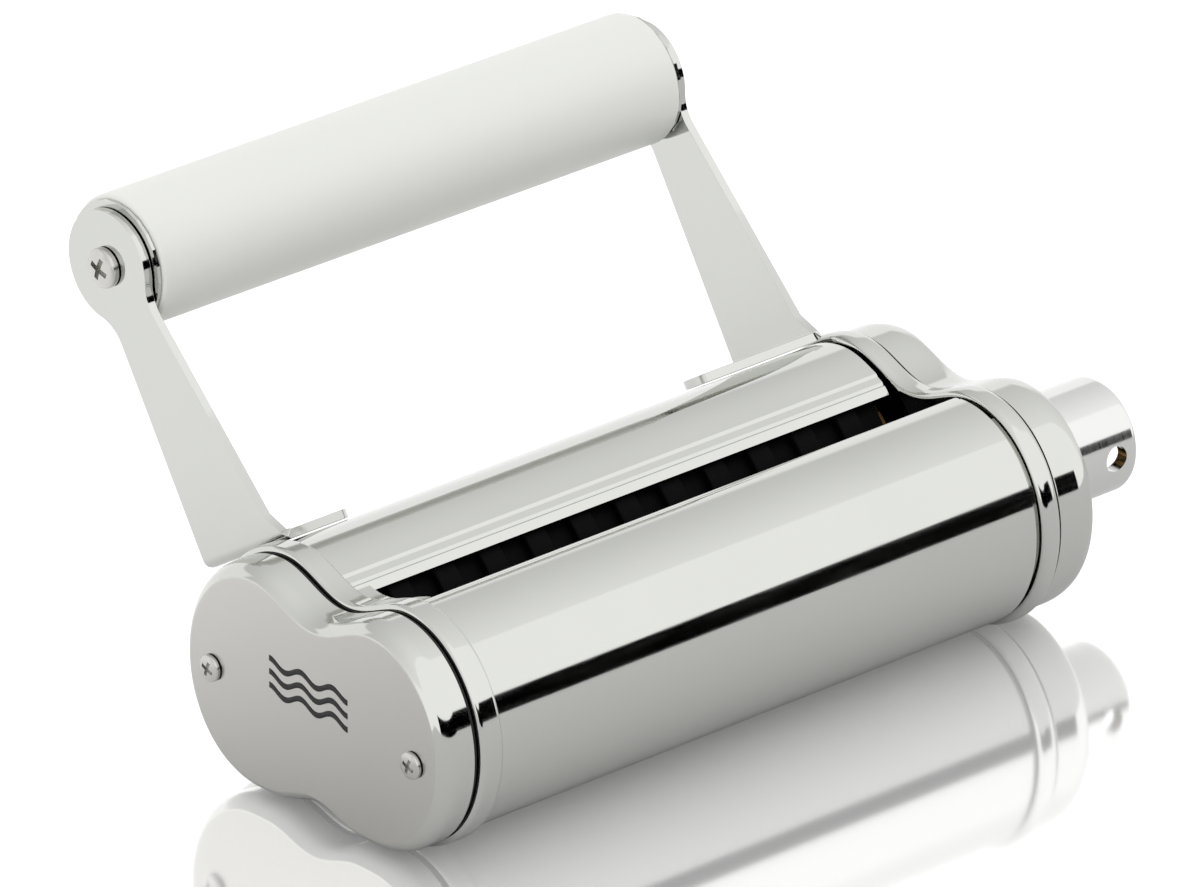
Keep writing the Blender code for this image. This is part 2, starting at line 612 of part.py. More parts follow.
def arm_outline():
    """The strap seen along X: a disc at the grip, running down into a strap that widens to its foot."""
    centre = Vector((GRIP_Y, GRIP_Z))
    fold_a, fold_b = (foot_point(s, GAP + FOOT_THICKNESS / 2) for s in (FOOT_START, FOOT_END))

    def fillet(top, bottom, away):
        """Arc that blends one straight edge into the disc: from the edge to the disc."""
        top, bottom = Vector(top), Vector(bottom)
        down = (bottom - top).normalized()
        out = Vector((-down.y, down.x))
        if out.dot(away) < 0:
            out = -out
        to_centre = centre - top
        reach = math.sqrt((ARM_DISC_RADIUS + ARM_FILLET) ** 2 - (ARM_FILLET - to_centre.dot(out)) ** 2)
        middle = top + down * (to_centre.dot(down) + reach) + out * ARM_FILLET
        start = (-out).xy
        end = (centre - middle).normalized()
        arc = []
        for i in range(FILLET_STEPS + 1):
            arc.append(middle + start.slerp(end, i / FILLET_STEPS) * ARM_FILLET)
        return arc

    front = fillet(*ARM_FRONT, Vector((-1, 1)))
    back = fillet(*ARM_BACK, Vector((1, -1)))
    begin = math.atan2(*reversed((front[-1] - centre).xy))
    finish = math.atan2(*reversed((back[-1] - centre).xy))
    while finish > begin:
        finish -= 2 * math.pi
    disc = [centre + Vector((math.cos(a), math.sin(a))) * ARM_DISC_RADIUS
            for a in (begin + (finish - begin) * i / DISC_STEPS for i in range(1, DISC_STEPS))]
    points = [Vector(fold_a), Vector(ARM_FRONT[1])] + front + disc + list(reversed(back)) + [Vector(fold_b)]
    return [tuple(p) for p in points]


def foot_point(along, height):
    """A point in the foot's slope, measured down the slope and out from the rear cover."""
    out = Vector((math.cos(FOOT_ANGLE), math.sin(FOOT_ANGLE)))
    down = Vector((out.y, -out.x))
    half_y, half_z = HALF_LENGTH - LOBE_Y - COVER_INSET, CENTRE_Z - COVER_INSET
    reach = math.hypot(half_y * out.x, half_z * out.y)
    touch = Vector((LOBE_Y, CENTRE_Z)) + Vector((half_y ** 2 * out.x, half_z ** 2 * out.y)) / reach
    return tuple(touch + down * along + out * height)


def foot_outline(inner, way):
    """The foot tab seen square on, as (x, along) points: as wide as the strap at the fold, with a rounded tip."""
    middle = (FOOT_START + FOOT_END) / 2
    points = [(inner, FOOT_START + GAP), (inner, FOOT_END - GAP)]
    for i in range(FOOT_TIP_STEPS + 1):
        angle = FOOT_TIP_ANGLE * (1 - 2 * i / FOOT_TIP_STEPS)
        points.append((inner + way * (FOOT_LENGTH - FOOT_TIP_RADIUS * (1 - math.cos(angle))),
                       middle + FOOT_TIP_RADIUS * math.sin(angle)))
    return points


def make_arms(body):
    """The bent strap arms that hold the grip, with feet that lie on the rear cover."""
    for label, inner, way in (("left_arm", LEFT_PLATE_IN + GAP, 1), ("right_arm", RIGHT_PLATE_IN - GAP, -1)):
        strap = prism(arm_outline(), inner, inner + way * ARM_THICKNESS)
        arm = add_object(label, strap, polished(), body)
        bm = bmesh.new()
        corners = []
        for x, along in foot_outline(inner, way):
            y, z = foot_point(along, GAP)
            corners.append(bm.verts.new((x, y, z)))
        face = bm.faces.new(corners)
        grown = bmesh.ops.extrude_face_region(bm, geom=[face])["geom"]
        moved = [v for v in grown if isinstance(v, bmesh.types.BMVert)]
        low, high = Vector(foot_point(0, GAP)), Vector(foot_point(0, GAP + FOOT_THICKNESS))
        bmesh.ops.translate(bm, vec=(0, high.x - low.x, high.y - low.y), verts=moved)
        boolean(arm, [cutter(label + "_foot", bm, body)], "UNION")
        hole = rod(inner - ARM_THICKNESS - CUT, inner + ARM_THICKNESS + CUT, PAN_SHANK_RADIUS + GAP, 16)
        boolean(arm, [cutter(label + "_hole", hole, body, (0, GRIP_Y, GRIP_Z))])


def make_grip(body, pivot):
    """The white grip, free to turn on a rod that is screwed between the arms."""
    left = LEFT_PLATE_IN + 2 * GAP + ARM_THICKNESS
    right = RIGHT_PLATE_IN - 2 * GAP - ARM_THICKNESS
    place = (0, GRIP_Y, GRIP_Z)
    depth, hole = GRIP_THREAD_DEPTH, PAN_SHANK_RADIUS + GAP
    profile = [(left + depth, 0), (left + depth, hole), (left, hole), (left, GRIP_ROD_RADIUS),
               (right, GRIP_ROD_RADIUS), (right, hole), (right - depth, hole), (right - depth, 0)]
    add_object("grip_rod", turned(profile, 12), plain_steel(), body, place)
    inner_left, inner_right = left + WASHER_THICKNESS + GAP, right - WASHER_THICKNESS - GAP
    add_object("grip_roller", ring(inner_left, inner_right, GRIP_BORE, GRIP_RADIUS, 32), white_plastic(), pivot)
    bore = GRIP_ROD_RADIUS + GAP
    for hand, edge, end, way in (("left", left, inner_left, 1), ("right", right, inner_right, -1)):
        low, high = sorted((edge, edge + way * WASHER_THICKNESS))
        add_object(f"{hand}_grip_washer", ring(low, high, bore, WASHER_RADIUS, 24), polished(), body, place)
        low, high = sorted((end, end + way * GRIP_BUSH_LENGTH))
        add_object(f"{hand}_grip_bush", ring(low, high, bore, GRIP_BORE - GAP), cream_nylon(), pivot)
        face = edge - way * (ARM_THICKNESS + 2 * GAP)
        screw(f"{hand}_grip_screw", body, (face, GRIP_Y, GRIP_Z), PAN_HEAD_RADIUS, PAN_HEAD,
              PAN_SHANK_RADIUS, ARM_THICKNESS + GRIP_SCREW_REACH, way)


def main():
    for leftover in list(bpy.data.objects):
        bpy.data.objects.remove(leftover, do_unlink=True)
    body = add_empty("body_origin", None, (0, BODY_Y, 0))
    front = add_empty("front_axis", body, (0, -ROLLER_Y, ROLLER_Z))
    rear = add_empty("rear_axis", body, (0, ROLLER_Y, ROLLER_Z))
    grip = add_empty("grip_axis", body, (0, GRIP_Y, GRIP_Z))
    make_end_caps(body)
    make_seals(body)
    make_end_plates(body)
    make_covers(body)
    make_bushes(body)
    make_sleeve(body)
    make_front_roller(front)
    make_rear_roller(rear)
    make_combs(body)
    make_ties(body)
    make_arms(body)
    make_grip(body, grip)


main()
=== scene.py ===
# %% [markdown]
# # A ribbon-cutting pasta roller, from frame to finish
#
# The frame holds every piece that works: rollers, gears, bushes, plates and screws, at their real places.
# This lesson gives that frame its looks. Sheet steel, turned steel, moulded plastic and rubber each get a
# short recipe, and the pieces that show are made again with finer surfaces, in the very same places.

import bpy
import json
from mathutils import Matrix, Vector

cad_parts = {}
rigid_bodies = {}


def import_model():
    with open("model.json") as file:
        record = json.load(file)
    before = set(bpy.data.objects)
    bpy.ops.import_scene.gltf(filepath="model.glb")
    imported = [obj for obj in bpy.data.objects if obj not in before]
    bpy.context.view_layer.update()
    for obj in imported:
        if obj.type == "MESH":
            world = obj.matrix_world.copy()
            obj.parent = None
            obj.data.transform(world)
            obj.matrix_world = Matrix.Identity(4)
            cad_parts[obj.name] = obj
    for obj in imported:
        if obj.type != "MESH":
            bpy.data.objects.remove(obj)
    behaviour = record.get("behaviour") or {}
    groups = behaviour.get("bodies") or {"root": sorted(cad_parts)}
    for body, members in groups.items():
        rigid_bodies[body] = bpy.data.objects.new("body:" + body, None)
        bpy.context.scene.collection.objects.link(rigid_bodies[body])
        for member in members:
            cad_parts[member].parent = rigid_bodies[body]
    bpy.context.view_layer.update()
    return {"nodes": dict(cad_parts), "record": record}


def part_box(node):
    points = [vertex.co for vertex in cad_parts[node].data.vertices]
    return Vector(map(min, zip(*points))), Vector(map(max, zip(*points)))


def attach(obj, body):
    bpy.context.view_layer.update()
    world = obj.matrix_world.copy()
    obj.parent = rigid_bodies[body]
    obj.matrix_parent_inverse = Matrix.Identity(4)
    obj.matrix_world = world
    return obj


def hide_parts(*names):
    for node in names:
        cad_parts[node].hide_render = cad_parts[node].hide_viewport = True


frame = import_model()

# %% Modules
import json
import math

import bmesh
import bpy
from mathutils import Matrix, Vector

# %% [markdown]
# ## The frame's own measures
#
# Everything new is modelled in millimetres, with X as in the frame, Y from the body's middle plane and Z
# from the surface that the machine stands on. One function then turns a finished mesh into metres and moves
# it into the frame. The driving sizes are read from the frame's boxes, so a piece can't end up in the wrong
# place.

# %% Sizes read from the frame
MM = 0.001


def box_mm(node):
    """A node's lowest and highest corner in millimetres, with Y from the body's middle plane."""
    low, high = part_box(node)
    shift = Vector((0, BODY_Y, 0))
    return (low - shift) / MM, (high - shift) / MM


plate_low, plate_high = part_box("right_end_plate")
BODY_Y = (plate_low.y + plate_high.y) / 2
HALF_LENGTH = (plate_high.y - plate_low.y) / 2 / MM
HEIGHT = plate_high.z / MM
print("body:", round(2 * HALF_LENGTH, 1), "x", round(HEIGHT, 1), "mm, middle plane at", round(BODY_Y / MM, 1))

# %% Places along X
GAP = 0.3
LEFT_PLATE_OUT = box_mm("left_end_plate")[0].x
LEFT_PLATE_IN = box_mm("left_arm")[0].x - GAP
RIGHT_PLATE_IN = box_mm("right_arm")[1].x + GAP
RIGHT_PLATE_OUT = box_mm("right_end_plate")[1].x
LEFT_FACE, LEFT_RIM = box_mm("left_end_cap")[0].x, box_mm("left_end_cap")[1].x
RIGHT_FACE = box_mm("right_end_cap")[1].x
SLEEVE_END = box_mm("drive_sleeve")[1].x
print("plates:", [round(x, 2) for x in (LEFT_PLATE_OUT, LEFT_PLATE_IN, RIGHT_PLATE_IN, RIGHT_PLATE_OUT)])

# %% [markdown]
# ## Camera
#
# A long lens from far away keeps the machine's parallel edges nearly parallel, as in a catalogue picture.
# The camera's place comes from two angles and a distance, and it aims at a point between the body and the
# grip.

# %% Camera
AZIMUTH = math.radians(-42.15)
ELEVATION = math.radians(24.57)
DISTANCE = 3.161
LENS = 468.4
CLIP_END = 30.0                        # metres, past the far edge of the floor
AIM_X, AIM_Z = 5.75, 40.5            # from halfway between the plates, and from the floor
AIM_RIGHT, AIM_UP = -14.9 * MM, 14.0 * MM    # then across and up the picture

camera_back = Vector((math.sin(AZIMUTH) * math.cos(ELEVATION), -math.cos(AZIMUTH) * math.cos(ELEVATION),
                      math.sin(ELEVATION)))
camera_right = Vector((math.cos(AZIMUTH), math.sin(AZIMUTH), 0))
camera_up = camera_back.cross(camera_right)
aim = Vector((((LEFT_PLATE_IN + RIGHT_PLATE_IN) / 2 + AIM_X) * MM, BODY_Y, AIM_Z * MM))
aim += camera_right * AIM_RIGHT + camera_up * AIM_UP
camera = bpy.data.objects.new("camera", bpy.data.cameras.new("camera"))
bpy.context.scene.collection.objects.link(camera)
camera.data.lens = LENS
camera.data.clip_end = CLIP_END
camera.location = aim + camera_back * DISTANCE
camera.rotation_euler = (-camera_back).to_track_quat("-Z", "Y").to_euler()
bpy.context.scene.camera = camera
print("camera at", [round(c, 3) for c in camera.location])

# %% [markdown]
# ## Node helpers
#
# Every material and the studio are node trees. One small function adds a node, sets its values and links
# its inputs, so a recipe reads as a list of what the surface is made of. Colours are written as sRGB hex
# values, the way a paint chart gives them, and turned to the linear values that light is computed in.

# %% Colours and nodes


def linear(hex_colour):
    """An sRGB hex colour as linear red, green, blue and alpha."""
    channels = [int(hex_colour[i:i + 2], 16) / 255 for i in (1, 3, 5)]
    return [c / 12.92 if c <= 0.04045 else ((c + 0.055) / 1.055) ** 2.4 for c in channels] + [1.0]


def add(tree, kind, settings=None, links=None):
    """A node with its settings, by property or input name, and its inputs linked by name or number."""
    node = tree.nodes.new(kind)
    for name, value in (settings or {}).items():
        if isinstance(name, str) and hasattr(node, name):
            setattr(node, name, value)
        else:
            node.inputs[name].default_value = value
    for name, source in (links or {}).items():
        tree.links.new(source, node.inputs[name])
    return node


# %% [markdown]
# ## Studio
#
# Polished steel shows only what is round it, so the studio matters as much as the metal. A shiny tube needs
# three things: a broad white softbox over the front, a ceiling that fades towards the back with a wall
# behind, and one dark flag at the height of the table to draw a crisp black line along every round side.
# The whole studio is drawn in the world from the direction of each ray, with no lamps in the way of any
# view.

# %% Studio light
FRONT_SOFTBOX = 1.28
CEILING_FRONT, CEILING_BACK = 1.14, 0.76
BACK_WALL = 0.36                     # how much brighter the white wall behind the table is than the ceiling
SOFTBOX_EDGE = -0.256                # how far to the front the ceiling ends and the softbox starts
WALL_TOP = 0.50                      # height where the back wall ends
FLAG_LOW, FLAG_HIGH = -0.02, 0.225   # heights between which the flag stands
FLAG_REACH = 0.90                    # width over depth of the flag, seen from the machine
SOFT = 0.012
STEP = {"interpolation_type": "SMOOTHSTEP"}

world = bpy.data.worlds.new("studio")
bpy.context.scene.world = world
world.use_nodes = True
studio = world.node_tree
background = studio.nodes["Background"]
coordinates = add(studio, "ShaderNodeTexCoord")
across, deep, high = add(studio, "ShaderNodeSeparateXYZ", links={0: coordinates.outputs["Generated"]}).outputs

# %% Softbox, ceiling and back wall
ceiling = add(studio, "ShaderNodeMapRange",
              {"From Min": SOFTBOX_EDGE, "From Max": 0.8, "To Min": CEILING_FRONT, "To Max": CEILING_BACK},
              {"Value": deep})
softbox = add(studio, "ShaderNodeMapRange",
              {**STEP, "From Min": SOFTBOX_EDGE - SOFT, "From Max": SOFTBOX_EDGE,
               "To Min": FRONT_SOFTBOX - CEILING_FRONT, "To Max": 0.0}, {"Value": deep})
wall_side = add(studio, "ShaderNodeMapRange", {**STEP, "From Min": 0.35, "From Max": 0.60}, {"Value": deep})
wall_height = add(studio, "ShaderNodeMapRange", {**STEP, "From Min": WALL_TOP - 0.08, "From Max": WALL_TOP,
                                                 "To Min": BACK_WALL, "To Max": 0.0}, {"Value": high})
back_wall = add(studio, "ShaderNodeMath", {"operation": "MULTIPLY"},
                {0: wall_side.outputs[0], 1: wall_height.outputs[0]})
front_light = add(studio, "ShaderNodeMath", {"operation": "ADD"},
                  {0: ceiling.outputs[0], 1: softbox.outputs[0]})
light = add(studio, "ShaderNodeMath", {"operation": "ADD"},
            {0: front_light.outputs[0], 1: back_wall.outputs[0]})

# %% Black flag
above_low = add(studio, "ShaderNodeMapRange", {**STEP, "From Min": FLAG_LOW - SOFT, "From Max": FLAG_LOW},
                {"Value": high})
below_high = add(studio, "ShaderNodeMapRange", {**STEP, "From Min": FLAG_HIGH, "From Max": FLAG_HIGH + SOFT,
                                                "To Min": 1.0, "To Max": 0.0}, {"Value": high})
in_front = add(studio, "ShaderNodeMapRange", {**STEP, "From Min": -0.36, "From Max": -0.30, "To Min": 1.0,
                                              "To Max": 0.0}, {"Value": deep})
sideways = add(studio, "ShaderNodeMath", {"operation": "DIVIDE"}, {0: across, 1: deep})
reach = add(studio, "ShaderNodeMath", {"operation": "ABSOLUTE"}, {0: sideways.outputs[0]})
narrow = add(studio, "ShaderNodeMapRange", {**STEP, "From Min": FLAG_REACH, "From Max": FLAG_REACH + 0.03,
                                            "To Min": 1.0, "To Max": 0.0}, {"Value": reach.outputs[0]})
flag = above_low
for limit in (below_high, in_front, narrow):
    flag = add(studio, "ShaderNodeMath", {"operation": "MULTIPLY"}, {0: flag.outputs[0], 1: limit.outputs[0]})
unflagged = add(studio, "ShaderNodeMath", {"operation": "SUBTRACT", 0: 1.0}, {1: flag.outputs[0]})
strength = add(studio, "ShaderNodeMath", {"operation": "MULTIPLY"},
               {0: light.outputs[0], 1: unflagged.outputs[0]})
studio.links.new(strength.outputs[0], background.inputs["Strength"])
background.inputs["Color"].default_value = linear("#ffffff")
bpy.context.scene.view_settings.view_transform = "Standard"
print("studio:", len(studio.nodes), "nodes")

# %% [markdown]
# ## Floor
#
# In a studio the machine stands on glossy white acrylic, which gives a soft mirror image under the body,
# over a table with painted shade towards the front and painted light, a glow, towards the back: they stand
# for floor that gets less light in front of the machine and more behind it. The eye should see the bright
# acrylic and the metal the table, so there are two floors: one is seen by the camera only, the other by
# everything else.

# %% Floors
FLOOR_SIZE = 12.0


def make_floor(name, depth):
    """A wide flat sheet a little under the machine, marked as stage, with its shader."""
    mesh = bpy.data.meshes.new(name)
    bm = bmesh.new()
    bmesh.ops.create_grid(bm, x_segments=1, y_segments=1, size=FLOOR_SIZE)
    bm.to_mesh(mesh)
    bm.free()
    made = bpy.data.objects.new(name, mesh)
    bpy.context.scene.collection.objects.link(made)
    made.location.z = -depth * MM
    surface = bpy.data.materials.new(name)
    surface.use_nodes = True
    mesh.materials.append(surface)
    return made, surface.node_tree


# %% The acrylic that the camera sees
acrylic, tree = make_floor("glossy_white_acrylic", 0.05)
shader = tree.nodes["Principled BSDF"]
shader.inputs["Base Color"].default_value = linear("#ffffff")
shader.inputs["Metallic"].default_value = 0.78
shader.inputs["Roughness"].default_value = 0.08
shader.inputs["Emission Color"].default_value = linear("#ffffff")
shader.inputs["Emission Strength"].default_value = 0.16
acrylic.visible_diffuse = acrylic.visible_glossy = acrylic.visible_transmission = False
acrylic.visible_shadow = False

# %% The table with painted shade and painted light, that the metal reflects
TABLE_FRONT, TABLE_BACK = -0.06, 0.13
table, tree = make_floor("table_with_painted_shade_and_light", 0.10)
shader = tree.nodes["Principled BSDF"]
place = add(tree, "ShaderNodeSeparateXYZ", links={0: add(tree, "ShaderNodeTexCoord").outputs["Object"]})
# Painted shade: the table's colour is darker towards the front, standing for floor that gets less light there
shade = add(tree, "ShaderNodeMapRange", {**STEP, "From Min": TABLE_FRONT, "From Max": TABLE_BACK,
                                         "To Min": 0.66, "To Max": 0.92}, {"Value": place.outputs[1]})
# Painted light: the table glows towards the back, though it is no lamp
glow = add(tree, "ShaderNodeMapRange", {**STEP, "From Min": TABLE_FRONT, "From Max": TABLE_BACK,
                                        "To Min": 0.0, "To Max": 0.16}, {"Value": place.outputs[1]})
tree.links.new(shade.outputs[0], shader.inputs["Base Color"])
tree.links.new(glow.outputs[0], shader.inputs["Emission Strength"])
shader.inputs["Emission Color"].default_value = linear("#ffffff")
shader.inputs["Roughness"].default_value = 0.7
table.visible_camera = False
print("floors:", 2 * FLOOR_SIZE, "m wide")

# %% [markdown]
# ## Finishes
#
# Each finish starts from the real metal or plastic and how its surface was made. Patterns are drawn in the
# object's own coordinates, in metres, so their scales are worked out from real sizes: a noise whose
# features are `size` millimetres wide has a scale of 1000 / size.

# %% A material with one pattern


def finish(name, colour, roughness, metallic=0.0, grain=1.0, stretch=(1, 1, 1), unevenness=0.02, tint=0.03,
           relief=0.0, gloss=0.5):
    """A shader whose colour, roughness and surface vary a little with a noise of a real grain size in mm."""
    made = bpy.data.materials.new(name)
    made.use_nodes = True
    tree = made.node_tree
    shader = tree.nodes["Principled BSDF"]
    place = add(tree, "ShaderNodeTexCoord").outputs["Object"]
    mapping = add(tree, "ShaderNodeMapping", {"Scale": stretch}, {"Vector": place})
    noise = add(tree, "ShaderNodeTexNoise", {"Scale": 1 / (grain * MM), "Detail": 3.0},
                {"Vector": mapping.outputs[0]})
    cloud = add(tree, "ShaderNodeTexNoise", {"Scale": 1 / (30 * MM), "Detail": 2.0}, {"Vector": place})
    value = linear(colour)
    darker = [c * (1 - tint) for c in value[:3]] + [1.0]
    lighter = [min(1.0, c * (1 + tint)) for c in value[:3]] + [1.0]
    blend = add(tree, "ShaderNodeMix", {"data_type": "RGBA"}, {0: cloud.outputs["Fac"]})
    blend.inputs[6].default_value, blend.inputs[7].default_value = darker, lighter
    tree.links.new(blend.outputs[2], shader.inputs["Base Color"])
    rough = add(tree, "ShaderNodeMapRange",
                {**STEP, "From Min": 0.3, "From Max": 0.7, "To Min": max(0.0, roughness - unevenness),
                 "To Max": roughness + unevenness}, {"Value": noise.outputs["Fac"]})
    tree.links.new(rough.outputs[0], shader.inputs["Roughness"])
    shader.inputs["Metallic"].default_value = metallic
    if relief:
        bump = add(tree, "ShaderNodeBump", {"Strength": 0.4, "Distance": relief * MM},
                   {"Height": noise.outputs["Fac"]})
        tree.links.new(bump.outputs["Normal"], shader.inputs["Normal"])
    shader.inputs["Specular IOR Level"].default_value = gloss
    return made


# %% The finishes of this machine
FINISHES = {
    # Deep-drawn stainless sheet, buffed: nearly a mirror, a cool grey of its own and a faint polishing haze
    "polished_steel": finish("polished_stainless_sheet", "#cccdc9", 0.07, 1.0, 0.8, (0.05, 1, 1), 0.015,
                             0.015),
    # The same sheet on the caps' flat faces, brushed very finely: it blurs its reflections to an even grey
    "satin_steel": finish("satin_stainless_sheet", "#c7c6c2", 0.22, 1.0, 0.25, (1, 0.08, 1), 0.03, 0.015),
    # Turned and plated bar: brighter than the sheet, with fine lathe rings round it
    "machined_aluminium": finish("turned_plated_shank", "#dcdcda", 0.12, 1.0, 0.3, (1, 0.05, 0.05), 0.03,
                                 0.01, 0.003),
    "plain_steel": finish("ground_steel", "#b4b4b1", 0.3, 1.0, 0.3, (0.1, 1, 1), 0.06, 0.04, 0.004),
    "bronze": finish("sintered_bronze", "#b08a52", 0.42, 1.0, 0.35, unevenness=0.08, tint=0.1, relief=0.01),
    # Moulded acetal: white with a soft sheen, because the tool was bead blasted
    "white_plastic": finish("white_acetal", "#e4e5e0", 0.42, 0.0, 0.5, unevenness=0.05, tint=0.01,
                            relief=0.006),
    "black_rubber": finish("black_nitrile", "#151515", 0.6, 0.0, 0.4, unevenness=0.08, tint=0.1, relief=0.01),
    "cream_nylon": finish("natural_nylon", "#e4dcc4", 0.45, 0.0, 0.6, unevenness=0.06, tint=0.03,
                          relief=0.01),
    "black_nylon": finish("black_glass_filled_nylon", "#050505", 0.7, 0.0, 0.6, unevenness=0.06, tint=0.1,
                          gloss=0.08),
    # Hard anodising turns aluminium nearly black; this finish is darker and duller still, painted shade that
    # hides the cutters inside the slot
    "black_anodised_aluminium": finish("black_anodised_aluminium_with_painted_slot_shade", "#040404", 0.65, 0.0, 0.3,
                                       unevenness=0.05, tint=0.1, gloss=0.08),
}
slot_of = {part["node"]: part["material_slot"] for part in frame["record"]["subparts"]}
print("finishes:", ", ".join(sorted(FINISHES)))

# %% [markdown]
# ## The body's outline
#
# Seen from the end, the body is two round lobes with a shallow waist above and below. The lobes are quarter
# ellipses on each side, and the waist is one wave of a cosine, so the two meet without a kink. A point is
# found from its share of the way round, which lets a plain circle of vertices be laid out along the shape.

# %% Outline formula
LOBE_Y = 18.2
TOP_DIP = 5.1
BOTTOM_DIP = 3.0
REST_FLAT = 4.0
CENTRE_Z = HEIGHT / 2
LOBE_SHARE = 0.34                     # of the points round the outline, those on one lobe
WAIST_SHARE = 0.5 - LOBE_SHARE


def waist(y, inset, upper):
    """Height of the outline between the lobes."""
    dip, span = (TOP_DIP, LOBE_Y) if upper else (BOTTOM_DIP, LOBE_Y - REST_FLAT)
    share = (1 + math.cos(math.pi * min(abs(y) / span, 1.0))) / 2
    rise = CENTRE_Z - inset - dip * share
    return CENTRE_Z + rise if upper else CENTRE_Z - rise


def lobe(angle, inset):
    """A point on the rear lobe, by its angle from +Y."""
    return (LOBE_Y + (HALF_LENGTH - LOBE_Y - inset) * math.cos(angle),
            CENTRE_Z + (CENTRE_Z - inset) * math.sin(angle))


def outline(share, inset):
    """The outline's (y, z) at a share of the way round, from the top of the rear lobe down its outer side."""
    share = share % 1.0
    if share < LOBE_SHARE:
        return lobe(math.pi * (0.5 - share / LOBE_SHARE), inset)
    if share < 0.5:
        y = LOBE_Y * (1 - 2 * (share - LOBE_SHARE) / WAIST_SHARE)
        return y, waist(y, inset, False)
    if share < 0.5 + LOBE_SHARE:
        y, z = lobe(math.pi * (0.5 - (share - 0.5) / LOBE_SHARE), inset)
        return -y, 2 * CENTRE_Z - z
    y = -LOBE_Y * (1 - 2 * (share - 0.5 - LOBE_SHARE) / WAIST_SHARE)
    return y, waist(y, inset, True)


print("waist heights:", round(waist(0, 0, False), 1), "to", round(waist(0, 0, True), 1), "mm")

# %% [markdown]
# ## From a bmesh to a piece
#
# A finished bmesh is turned to metres, moved to the body's middle plane, shaded, and given its finish. Then
# it is parented to the body it rides on, and the node of the frame that it stands for is hidden.

# %% Making a piece
ROUND = 300                           # points round the body's outline


def cleaned(bm):
    """A closed solid with no vertex twice and its faces pointing out."""
    bmesh.ops.remove_doubles(bm, verts=bm.verts, dist=0.0005)
    bmesh.ops.recalc_face_normals(bm, faces=bm.faces)
    loose = sum(not edge.is_manifold for edge in bm.edges)
    if loose:
        raise ValueError(f"not a closed solid: {loose} edges don't join exactly two faces")
    return bm


def turned_out(bm, middle):
    """An open sheet whose faces all point away from a point that it wraps round."""
    bmesh.ops.recalc_face_normals(bm, faces=bm.faces)
    outward = sum((f.calc_center_median() - Vector(middle)).dot(f.normal) * f.calc_area() for f in bm.faces)
    if outward < 0:
        bmesh.ops.reverse_faces(bm, faces=bm.faces)
    return bm


def make_object(name, bm, slots, sharp=30):
    """An object at the origin whose mesh is the bmesh, moved into the frame."""
    bmesh.ops.scale(bm, vec=(MM, MM, MM), verts=bm.verts)
    bmesh.ops.translate(bm, vec=(0, BODY_Y, 0), verts=bm.verts)
    mesh = bpy.data.meshes.new(name)
    bm.to_mesh(mesh)
    bm.free()
    for one in slots:
        mesh.materials.append(FINISHES[one])
    mesh.shade_smooth()
    mesh.set_sharp_from_angle(angle=math.radians(sharp))
    made = bpy.data.objects.new(name, mesh)
    bpy.context.scene.collection.objects.link(made)
    return made


def make_piece(name, bm, body, node, slots=None, sharp=30):
    """A piece that rides on a body, stands for a node of the frame and takes that node's finish."""
    slots = slots or [slot_of[node]]
    made = make_object(name, bm, slots, sharp)
    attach(made, body)
    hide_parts(node)
    print(name, len(made.data.polygons), "faces")
    return made


def wall(piece, thickness, offset=-1.0):
    """Gives a sheet its thickness, inwards from its drawn side."""
    step = piece.modifiers.new("wall", "SOLIDIFY")
    step.thickness, step.offset = thickness * MM, offset
    step.use_even_offset = True


def soften(piece, width, segments=3, angle=40):
    """Rounds a piece's crisp edges and keeps its flats flat."""
    step = piece.modifiers.new("edges", "BEVEL")
    step.width, step.segments, step.limit_method = width * MM, segments, "ANGLE"
    step.angle_limit = math.radians(angle)
    step.harden_normals = True


def hold_flats(piece):
    """Weighs each corner's normal by its faces' areas, so long faces stay straight beside small roundings."""
    step = piece.modifiers.new("normals", "WEIGHTED_NORMAL")
    step.keep_sharp = True


def cut(piece, tools, operation="DIFFERENCE", sharp=30):
    """Cuts tools out of a piece for good, and throws the tools away."""
    for tool in tools:
        step = piece.modifiers.new("cut", "BOOLEAN")
        step.object, step.operation, step.solver = tool, operation, "EXACT"
    bpy.context.view_layer.update()
    graph = bpy.context.evaluated_depsgraph_get()
    result = bpy.data.meshes.new_from_object(piece.evaluated_get(graph))
    piece.modifiers.clear()
    piece.data = result
    result.set_sharp_from_angle(angle=math.radians(sharp))
    for tool in tools:
        bpy.data.objects.remove(tool)


# %% [markdown]
# ## Outline rings
#
# Plates, caps and seals all start the same way: a circle with its face filled, laid out along the outline.
# The face is then extruded from ring to ring, and each ring has its place along X and its inset from the
# outline. A layer on the vertices remembers each one's share of the way round, because extruding copies it.

# %% Extruding the outline


def through_rings(rings):
    """A closed solid through rings of (x, inset)."""
    bm = bmesh.new()
    round_share = bm.verts.layers.float.new("round_share")
    made = bmesh.ops.create_circle(bm, cap_ends=True, segments=ROUND, radius=1)
    for count, vert in enumerate(made["verts"]):
        vert[round_share] = count / ROUND
    bm.faces.ensure_lookup_table()
    first = face = bm.faces[0]
    for step, (x, inset) in enumerate(rings):
        if step:
            grown = bmesh.ops.extrude_face_region(bm, geom=[face])["geom"]
            if face is not first:    # extruding keeps the old face, which would be a wall across the inside
                bmesh.ops.delete(bm, geom=[face], context="FACES_ONLY")
            face = next(g for g in grown if isinstance(g, bmesh.types.BMFace))
        for vert in face.verts:
            y, z = outline(vert[round_share], inset)
            vert.co = (x, y, z)
    return cleaned(bm)


